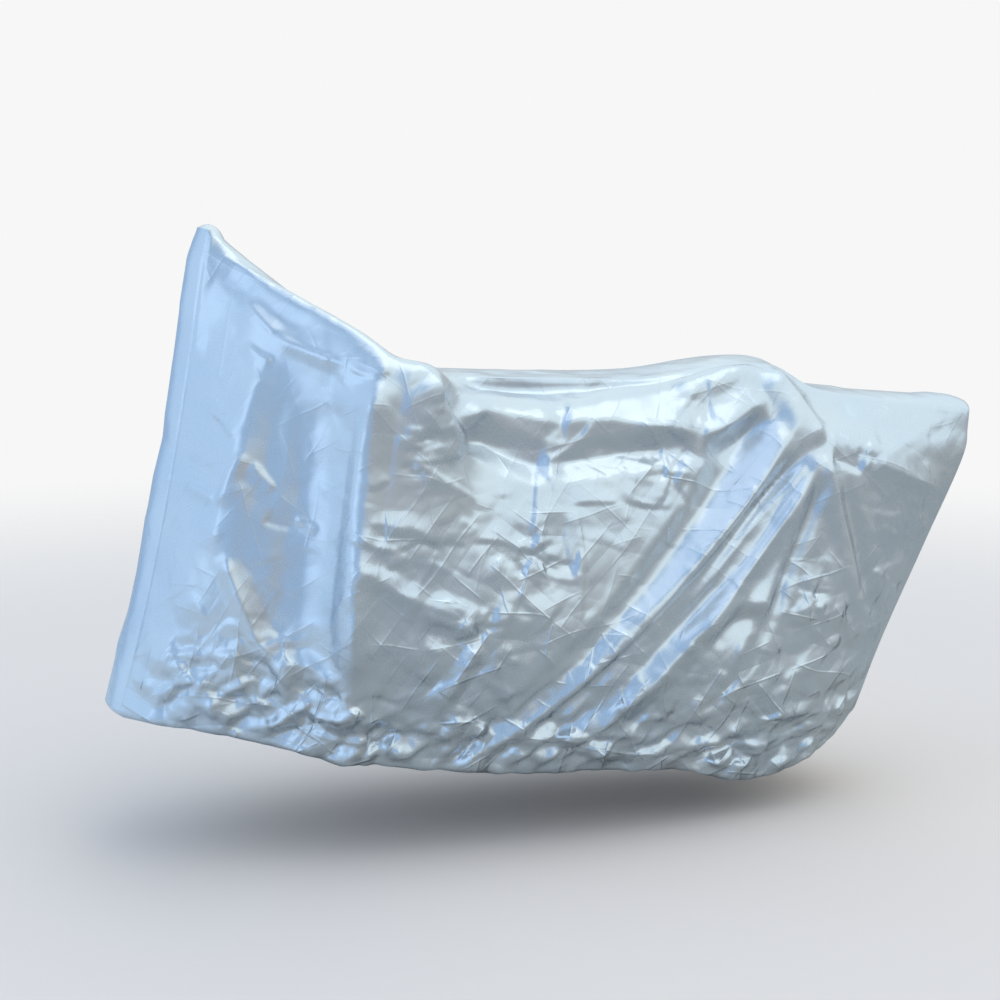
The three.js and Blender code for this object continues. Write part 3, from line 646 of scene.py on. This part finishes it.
def hemArc(start, swell):
    # the edge rolled under, from the wall's foot to the free edge
    inward = np.zeros_like(start)
    inward[:, 0] = np.clip(start[:, 0], hem["spineFront"], hem["spineBack"]) - start[:, 0]
    inward[:, 1] = -start[:, 1]
    inward = unit(inward)
    points = []
    for k in range(1, hem["rows"] + 1):
        share = k / hem["rows"]
        angle = hem["startAngle"] + (hem["endAngle"] - hem["startAngle"]) * share
        reach = hem["radius"] * (1 + swell * share) * (np.cos(hem["startAngle"]) - np.cos(angle))
        drop = hem["radius"] * (np.sin(angle) - np.sin(hem["startAngle"]))
        points.append(start + inward * reach[:, None] - [0, 0, drop])
    return np.stack(points[::-1], axis=1)


leftStops = ribStops(leftPanel)
wallPlaces = evenPlaces(leftStops, cloth["rows"])
columnPlaces = evenPlaces(curveThrough(leftStops, wallPlaces).swapaxes(0, 1), cloth["columns"])


def panelGrid(panel):
    # smooth wall first, then its folds and creases, then the rolled hem
    walls = curveThrough(ribStops(panel), wallPlaces).swapaxes(0, 1)
    wall = curveThrough(walls, columnPlaces)
    normals = gridNormals(wall) * -panel["side"]
    x, z = wall[..., 0], wall[..., 2]
    u, v = wayAlong(wall, 0), wayAlong(wall, 1)
    draw = np.random.default_rng(panel["seed"])
    fromEnds = np.minimum(u, u.max(0) - u)
    fromEdge = np.minimum(fromEnds, v.max(1, keepdims=True) - v)
    calm = smooth(fromEdge / cloth["seamCalm"])
    crumpled = areaMask(x, z, panel["crumples"])
    rows = panel["folds"] + creaseRows(panel["creases"])
    rows = rows + starRows(panel["stars"], panel["seed"]) + strayRows(panel["strays"], panel["seed"] + 20)
    lift = foldLift(x, z, rows)
    lift += crumpled * sum(facets(u, v, *facet, draw) for facet in cloth["facets"])
    across, along = hem["slantedPull"]
    hemFolds = facets((u - v + hem["slantedStart"]) * across, (u + v) * along, *hem["slanted"], draw)
    along, across = hem["levelPull"]
    hemFolds += facets(u * along, v * across, *hem["level"], draw)
    hemFolds *= smooth(fromEnds / hem["crumpleCalm"])
    hemFolds *= 1 - smooth((v - hem["crumpleHeight"]) / hem["crumpleFade"])
    lift += hemFolds * (hem["edgeShare"] + (1 - hem["edgeShare"]) * smooth(v / hem["edgeReach"]))
    dip = cloth["seamDip"] * (1 - smooth(fromEdge / cloth["seamDipReach"]))
    folded = wall + normals * (calm * lift - dip)[..., None]
    way = u[:, 0]
    swell = sum(share * np.sin(2 * np.pi * way / length + start) for length, share, start in hem["gathers"])
    swell = swell * smooth(np.minimum(way, way[-1] - way) / hem["gatherCalm"])
    grid = np.concatenate([hemArc(folded[:, 0], swell), folded], axis=1)
    creased = np.maximum(crumpled, 1 - smooth(v / hem["creasedHeight"]))
    amount = np.concatenate([np.ones((len(grid), hem["rows"])), creased], axis=1)
    return grid, amount


panels = {}
for panel in (leftPanel, rightPanel):
    panels[panel["node"]] = panelGrid(panel)
    print(panel["node"], "shaped")


# The nose strip and the top strip, sewn between the two panels
strips = {
    "noseAcross": 25,
    "topAcross": 35,
    "noseCrown": (23, 27),      # how far the nose strip stands out at the hem and at the brow
    "noseStops": (0, 3, 5),     # the stops of the hem, the brow and the peak
    "peakOut": (-0.95, 0, 0.3), # the stitch line across the peak bulges forward
    "peakFrom": 3.8,            # the nose strip turns that way from this stop on
    "peakReach": 1.2,
    "peakDome": 4,              # and the top strip swells up behind it
    "cornerRound": 7,           # points over which the crown's direction turns at the tail corner
    "facets": (120, 0.04),
    "calm": 40,                 # facets die out this close to a seam
    "crumpled": 0.12,
    "seed": 9,
}


def stripGrid(leftSeam, rightSeam, crowns, atPeak, across):
    # stations along the seams, points from the left seam to the right one
    share = np.linspace(0, 1, across)[None, :, None]
    along = np.gradient(leftSeam, axis=0)
    out = unit(np.cross(along, rightSeam - leftSeam))
    reach = strips["cornerRound"]
    padded = np.concatenate([out[:1]] * reach + [out] + [out[-1:]] * reach)
    out = unit(sum(padded[n:n + len(out)] for n in range(2 * reach + 1)))
    out = unit(out + atPeak[:, None] * (np.array(strips["peakOut"]) - out))
    rise = crowns[:, None, None] * 4 * share * (1 - share)
    return leftSeam[:, None] * (1 - share) + rightSeam[:, None] * share + out[:, None] * rise


def stripFolded(wall, seed):
    normals = gridNormals(wall)
    u, v = wayAlong(wall, 0), wayAlong(wall, 1)
    draw = np.random.default_rng(seed)
    fromEdge = np.minimum(v, v.max(1, keepdims=True) - v)
    calm = smooth(fromEdge / strips["calm"])
    lift = facets(u, v, *strips["facets"], draw)
    dip = cloth["seamDip"] * (1 - smooth(fromEdge / cloth["seamDipReach"]))
    return wall + normals * (calm * lift - dip)[..., None]


leftGrid = panels["side_panel_left"][0]
rightGrid = panels["side_panel_right"][0]
wallRows = slice(hem["rows"], None)
frontLeft, frontRight = leftGrid[0, wallRows], rightGrid[0, wallRows]
spineLeft = np.concatenate([leftGrid[:, -1], leftGrid[-1, wallRows][-2::-1]])
spineRight = np.concatenate([rightGrid[:, -1], rightGrid[-1, wallRows][-2::-1]])
noseCrowns = np.interp(wallPlaces, strips["noseStops"], [*strips["noseCrown"], topSeam[0, 3]])
noseTurn = smooth((wallPlaces - strips["peakFrom"]) / strips["peakReach"])
spinePlaces = np.concatenate([columnPlaces, np.full(len(spineLeft) - len(columnPlaces), columnPlaces[-1])])
fromPeak = np.clip(spinePlaces, 0, 1)
spineCrowns = np.interp(spinePlaces, np.arange(len(topSeam)), topSeam[:, 3])
spineCrowns += strips["peakDome"] * 4 * fromPeak * (1 - fromPeak)
frontWall = stripGrid(frontLeft, frontRight, noseCrowns, noseTurn, strips["noseAcross"])
spineWall = stripGrid(spineLeft, spineRight, spineCrowns, (1 - fromPeak) ** 2, strips["topAcross"])
frontWall = stripFolded(frontWall, strips["seed"])
spineWall = stripFolded(spineWall, strips["seed"] + 1)
still = np.zeros(1)
frontGrid = np.concatenate([hemArc(frontWall[0], still).swapaxes(0, 1), frontWall])
spineGrid = np.concatenate([spineWall, hemArc(spineWall[-1], still).swapaxes(0, 1)[::-1]])
print("strips shaped")

pieces = {
    "side_panel_left": closedSheet("left_panel_cloth", leftGrid),
    "side_panel_right": closedSheet("right_panel_cloth", rightGrid, flip=True),
    "front_strip": closedSheet("nose_strip_cloth", frontGrid),
    "top_strip": closedSheet("top_strip_cloth", spineGrid),
}
for node in panels:
    addAmount(pieces[node], "crumpled", panels[node][1])
for node, grid in (("front_strip", frontGrid), ("top_strip", spineGrid)):
    addAmount(pieces[node], "crumpled", np.full(grid.shape[:2], strips["crumpled"]))


# Shaders: a wrapped socket takes part in Python sums, and each sum adds its Math node
class Wire:
    def __init__(self, shade, socket):
        self.shade = shade
        self.socket = socket

    def maths(self, operation, first, second):
        return self.shade.node("ShaderNodeMath", {"operation": operation}, {0: first, 1: second})

    def __add__(self, other):
        return self.maths("ADD", self, other)

    def __radd__(self, other):
        return self.maths("ADD", other, self)

    def __sub__(self, other):
        return self.maths("SUBTRACT", self, other)

    def __rsub__(self, other):
        return self.maths("SUBTRACT", other, self)

    def __mul__(self, other):
        return self.maths("MULTIPLY", self, other)

    def __rmul__(self, other):
        return self.maths("MULTIPLY", other, self)


class Shade:
    def __init__(self, tree):
        self.tree = tree
        tree.nodes.clear()

    def node(self, kind, settings=None, inputs=None, output=0):
        made = self.tree.nodes.new(kind)
        for name, value in (settings or {}).items():
            setattr(made, name, value)
        for name, value in (inputs or {}).items():
            if isinstance(value, Wire):
                self.tree.links.new(value.socket, made.inputs[name])
            else:
                made.inputs[name].default_value = value
        return Wire(self, made.outputs[output]) if made.outputs else made

    def spread(self, value, low, high):
        # from 0 at the low value to 1 at the high one
        settings = {"interpolation_type": "SMOOTHSTEP"}
        return self.node("ShaderNodeMapRange", settings, {0: value, 1: low, 2: high, 3: 0, 4: 1})

    def mix(self, share, first, second):
        settings = {"data_type": "RGBA"}
        return self.node("ShaderNodeMix", settings, {0: share, 6: first, 7: second}, output=2)

    def noise(self, place, scale, detail, output=0):
        return self.node("ShaderNodeTexNoise", {}, {"Vector": place, "Scale": scale, "Detail": detail}, output)

    def along(self, place, way):
        settings = {"operation": "DOT_PRODUCT"}
        return self.node("ShaderNodeVectorMath", settings, {0: place, 1: way}, output=1)


packing = {
    "start": (0.3, 0.7),    # where the noise is read
    "bend": 1.8,            # how far the folds stray from straight lines, in folds
    "bendScale": 3.5,
    "bendDetail": 1.5,
    "patchScale": 6.5,
    "patchDetail": 1.0,
    "patchEdge": (0.5, 0.6),
    "depth": 0.4,           # share of the direction across the cover
    "crease": 0.004,        # width of a crease in metres
    # direction in degrees, metres apart, slope of the facets, rise of the creases in metres
    "folds": [
        (12, 0.052, 0.13, 0.0009),
        (47, 0.034, 0.14, 0.0008),
        (78, 0.061, 0.13, 0.0009),
        (108, 0.041, 0.13, 0.0008),
        (141, 0.030, 0.14, 0.0008),
        (166, 0.047, 0.13, 0.0009),
    ],
}


def packingFolds(shade, place):
    # straight folds in a few directions, each seen only in some patches: flat facets between crisp creases
    total = 0
    for number, (angle, apart, slope, rise) in enumerate(packing["folds"]):
        channel = number % 3
        if channel == 0:
            settings = {"operation": "ADD"}
            moved = shade.node("ShaderNodeVectorMath", settings, {0: place, 1: (number, *packing["start"])})
            bend = shade.noise(moved, packing["bendScale"], packing["bendDetail"], output=1)
            patch = shade.noise(moved, packing["patchScale"], packing["patchDetail"], output=1)
        bent = shade.node("ShaderNodeSeparateColor", {}, {0: bend}, output=channel)
        seen = shade.node("ShaderNodeSeparateColor", {}, {0: patch}, output=channel)
        turn = np.radians(angle)
        way = tuple(float(part) / apart for part in (np.cos(turn), packing["depth"], np.sin(turn)))
        strayed = shade.along(place, way) + bent * packing["bend"]
        wave = strayed.maths("PINGPONG", strayed, 1.0)
        crest = shade.spread(wave, 1 - packing["crease"] / apart, 1)
        total = total + shade.spread(seen, *packing["patchEdge"]) * (wave * (apart * slope) + crest * rise)
    return total


def silverCloth(name, look):
    material = bpy.data.materials.new(name)
    material.use_nodes = True
    shade = Shade(material.node_tree)
    place = shade.node("ShaderNodeTexCoord", output=3)
    crumpled = shade.node("ShaderNodeAttribute", {"attribute_name": "crumpled"}, output=2)
    cloudy = shade.noise(place, look["cloudScale"], look["cloudDetail"])
    grain = shade.noise(place, look["grainScale"], look["grainDetail"])
    settings = {"bands_direction": "Z"}
    threads = shade.node("ShaderNodeTexWave", settings, {"Vector": place, "Scale": look["threads"]})
    colour = shade.mix(shade.spread(cloudy, *look["cloudEdge"]), look["colour"], look["tint"])
    roughness = look["roughness"] + (cloudy - 0.5) * look["cloudRoughness"]
    roughness = roughness + (grain - 0.5) * look["grainRoughness"]
    height = (look["leastFolds"] + crumpled) * packingFolds(shade, place) + threads * look["threadRise"]
    bump = shade.node("ShaderNodeBump", {}, {"Strength": 1.0, "Distance": 1.0, "Height": height})
    shader = shade.node("ShaderNodeBsdfPrincipled", {}, {
        "Base Color": colour, "Roughness": roughness, "Normal": bump,
        "Metallic": look["metallic"], "IOR": look["ior"],
    })
    shade.node("ShaderNodeOutputMaterial", {}, {"Surface": shader})
    return material


clothLook = {
    "colour": (0.70, 0.725, 0.75, 1),
    "tint": (0.66, 0.70, 0.745, 1),
    "metallic": 0.85,
    "ior": 1.5,
    "roughness": 0.27,
    "cloudRoughness": 0.1,  # how much the clouds and the grain change it
    "grainRoughness": 0.06,
    "cloudScale": 5.0,
    "cloudDetail": 4.0,
    "cloudEdge": (0.35, 0.65),
    "grainScale": 900.0,
    "grainDetail": 2.0,
    "leastFolds": 0.03,     # packing folds on the smoothest cloth
    "threads": 420.0,
    "threadRise": 0.00001,
}
panelCloth = silverCloth("panel_cloth_silver", clothLook)
stripCloth = silverCloth("strip_cloth_silver", dict(clothLook, colour=(0.72, 0.745, 0.77, 1)))

# cut size and area of each piece before sewing, in metres
cuts = {
    "side_panel_left": ("panel_cloth", panelCloth, (1.16, 2.12), 1.96),
    "side_panel_right": ("panel_cloth", panelCloth, (1.16, 2.12), 1.92),
    "front_strip": ("strip_cloth", stripCloth, (0.20, 1.10), 0.16),
    "top_strip": ("strip_cloth", stripCloth, (0.23, 2.75), 0.53),
}
for node, (slot, material, flat, area) in cuts.items():
    piece = pieces[node]
    piece.data.materials.append(material)
    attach(piece, "root")
    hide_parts(node)
print("cloth finished")

# Floor, light and camera
studio = {
    "floorRadius": 7.0,
    "floorSides": 96,
    "floorRoughness": 0.9,
    "floorFade": (2.2, 5.5),                # the floor fades into the backdrop over these metres
    "floorColour": (0.97, 0.80, 0.71, 1),
    "floorLitAhead": (0.72, 0.74, 0.77, 1),    # what the floor sends back to the cloth: painted light ahead of it, a darker and warmer floor beside it
    "floorBeside": (0.47, 0.435, 0.395, 1),
    "floorTurn": (-1.5, -0.4),              # from ahead to beside, in metres along the cover
    "level": (0.47, 0.485, 0.51, 1),
    "ahead": (0.36, 0.55, 0.82, 1),         # seen by cloth that faces the nose
    "aheadMost": (0.60, 0.84, 1.14, 1),     # and by cloth that faces it most
    "aheadWay": (-1, 0, 0.2),
    "aheadRange": (0.06, 0.36),             # where a light begins and where it is full
    "aheadMostRange": (0.5, 0.95),
    "behind": (0.48, 0.52, 0.54, 1),
    "behindWay": (0.95, -0.3, 0),
    "behindRange": (0.2, 0.9),
    "above": (0.95, 1.11, 1.17, 1),
    "aboveRange": (0.0, 0.5),
    "below": (0.26, 0.25, 0.24, 1),
    "belowRange": (-0.6, 0.0),
    "backdrop": (0.93, 0.93, 0.93, 1),
}


def makeFloor():
    mesh = bpy.data.meshes.new("floor")
    turns = np.linspace(0, 2 * np.pi, studio["floorSides"], endpoint=False)
    ring = np.stack([np.cos(turns), np.sin(turns), np.zeros(len(turns))], -1) * studio["floorRadius"]
    ring[:, 2] = -cloth["saddleHeight"] / 1000
    mesh.from_pydata(ring.tolist(), [], [list(range(len(turns)))])
    floor = bpy.data.objects.new("floor", mesh)
    bpy.context.scene.collection.objects.link(floor)
    material = bpy.data.materials.new("floor_pale")
    material.use_nodes = True
    shade = Shade(material.node_tree)
    place = shade.node("ShaderNodeTexCoord", output=3)
    away = shade.node("ShaderNodeVectorMath", {"operation": "LENGTH"}, {0: place}, output=1)
    fade = shade.spread(away, *studio["floorFade"])
    seen = shade.node("ShaderNodeLightPath", output=0)
    # the cloth sees painted light on the floor ahead of the nose, fading to the darker, warmer floor beside
    # it; the camera sees the plain pale floor
    lengthwise = shade.node("ShaderNodeSeparateXYZ", {}, {0: place}, output=0)
    beside = shade.spread(lengthwise, *studio["floorTurn"])
    bounce = shade.mix(beside, studio["floorLitAhead"], studio["floorBeside"])
    colour = shade.mix(seen, bounce, studio["floorColour"])
    finish = {"Base Color": colour, "Roughness": studio["floorRoughness"]}
    pale = shade.node("ShaderNodeBsdfPrincipled", {}, finish)
    clear = shade.node("ShaderNodeBsdfTransparent")
    both = shade.node("ShaderNodeMixShader", {}, {0: fade, 1: pale, 2: clear})
    shade.node("ShaderNodeOutputMaterial", {}, {"Surface": both})
    mesh.materials.append(material)


def makeWorld():
    world = bpy.data.worlds.new("studio")
    world.use_nodes = True
    bpy.context.scene.world = world
    shade = Shade(world.node_tree)
    direction = shade.node("ShaderNodeTexCoord", output=0)
    height = shade.along(direction, (0, 0, 1))
    backward = shade.along(direction, studio["behindWay"])
    forward = shade.along(direction, studio["aheadWay"])
    around = shade.mix(shade.spread(backward, *studio["behindRange"]), studio["level"], studio["behind"])
    around = shade.mix(shade.spread(height, *studio["aboveRange"]), around, studio["above"])
    ahead = shade.mix(shade.spread(forward, *studio["aheadMostRange"]), studio["ahead"], studio["aheadMost"])
    around = shade.mix(shade.spread(forward, *studio["aheadRange"]), around, ahead)
    around = shade.mix(shade.spread(height, *studio["belowRange"]), studio["below"], around)
    seen = shade.node("ShaderNodeLightPath", output=0)
    lit = shade.node("ShaderNodeBackground", {}, {0: around, 1: 1.0})
    plain = shade.node("ShaderNodeBackground", {}, {0: studio["backdrop"], 1: 1.0})
    both = shade.node("ShaderNodeMixShader", {}, {0: seen, 1: lit, 2: plain})
    shade.node("ShaderNodeOutputWorld", {}, {"Surface": both})


def makeLamp(name, place, aim, wide, high, watts, colour):
    data = bpy.data.lights.new(name, "AREA")
    data.shape = "RECTANGLE"
    data.size, data.size_y = wide, high
    data.energy = watts
    data.color = colour
    lamp = bpy.data.objects.new(name, data)
    lamp.location = place
    lamp.rotation_euler = (Vector(aim) - Vector(place)).to_track_quat("-Z", "Y").to_euler()
    bpy.context.scene.collection.objects.link(lamp)


view = {
    "azimuth": -16,
    "elevation": 9.5,
    "distance": 4.2,
    "lens": 68.4,
    "sensor": 36,
    "target": (0, 0, -0.2845),
}


def makeCamera():
    turn, lift = np.radians(view["azimuth"]), np.radians(view["elevation"])
    back = Vector((np.sin(turn) * np.cos(lift), -np.cos(turn) * np.cos(lift), np.sin(lift)))
    camera = bpy.data.objects.new("camera", bpy.data.cameras.new("camera"))
    camera.data.lens = view["lens"]
    camera.data.sensor_width = view["sensor"]
    camera.location = Vector(view["target"]) + back * view["distance"]
    camera.rotation_euler = (-back).to_track_quat("-Z", "Y").to_euler()
    bpy.context.scene.collection.objects.link(camera)
    bpy.context.scene.camera = camera


makeFloor()
makeWorld()
makeLamp("sky_soft", place=(0.2, -0.8, 3.2), aim=(0, 0, 0),
         wide=4.0, high=3.0, watts=18, colour=(0.92, 0.97, 1.0))
makeLamp("front_left_blue", place=(-3.6, -2.2, 0.8), aim=(-0.4, 0, -0.2),
         wide=2.2, high=2.2, watts=5, colour=(0.62, 0.78, 1.0))
makeCamera()
bpy.context.scene.view_settings.view_transform = "Standard"
print("studio ready")
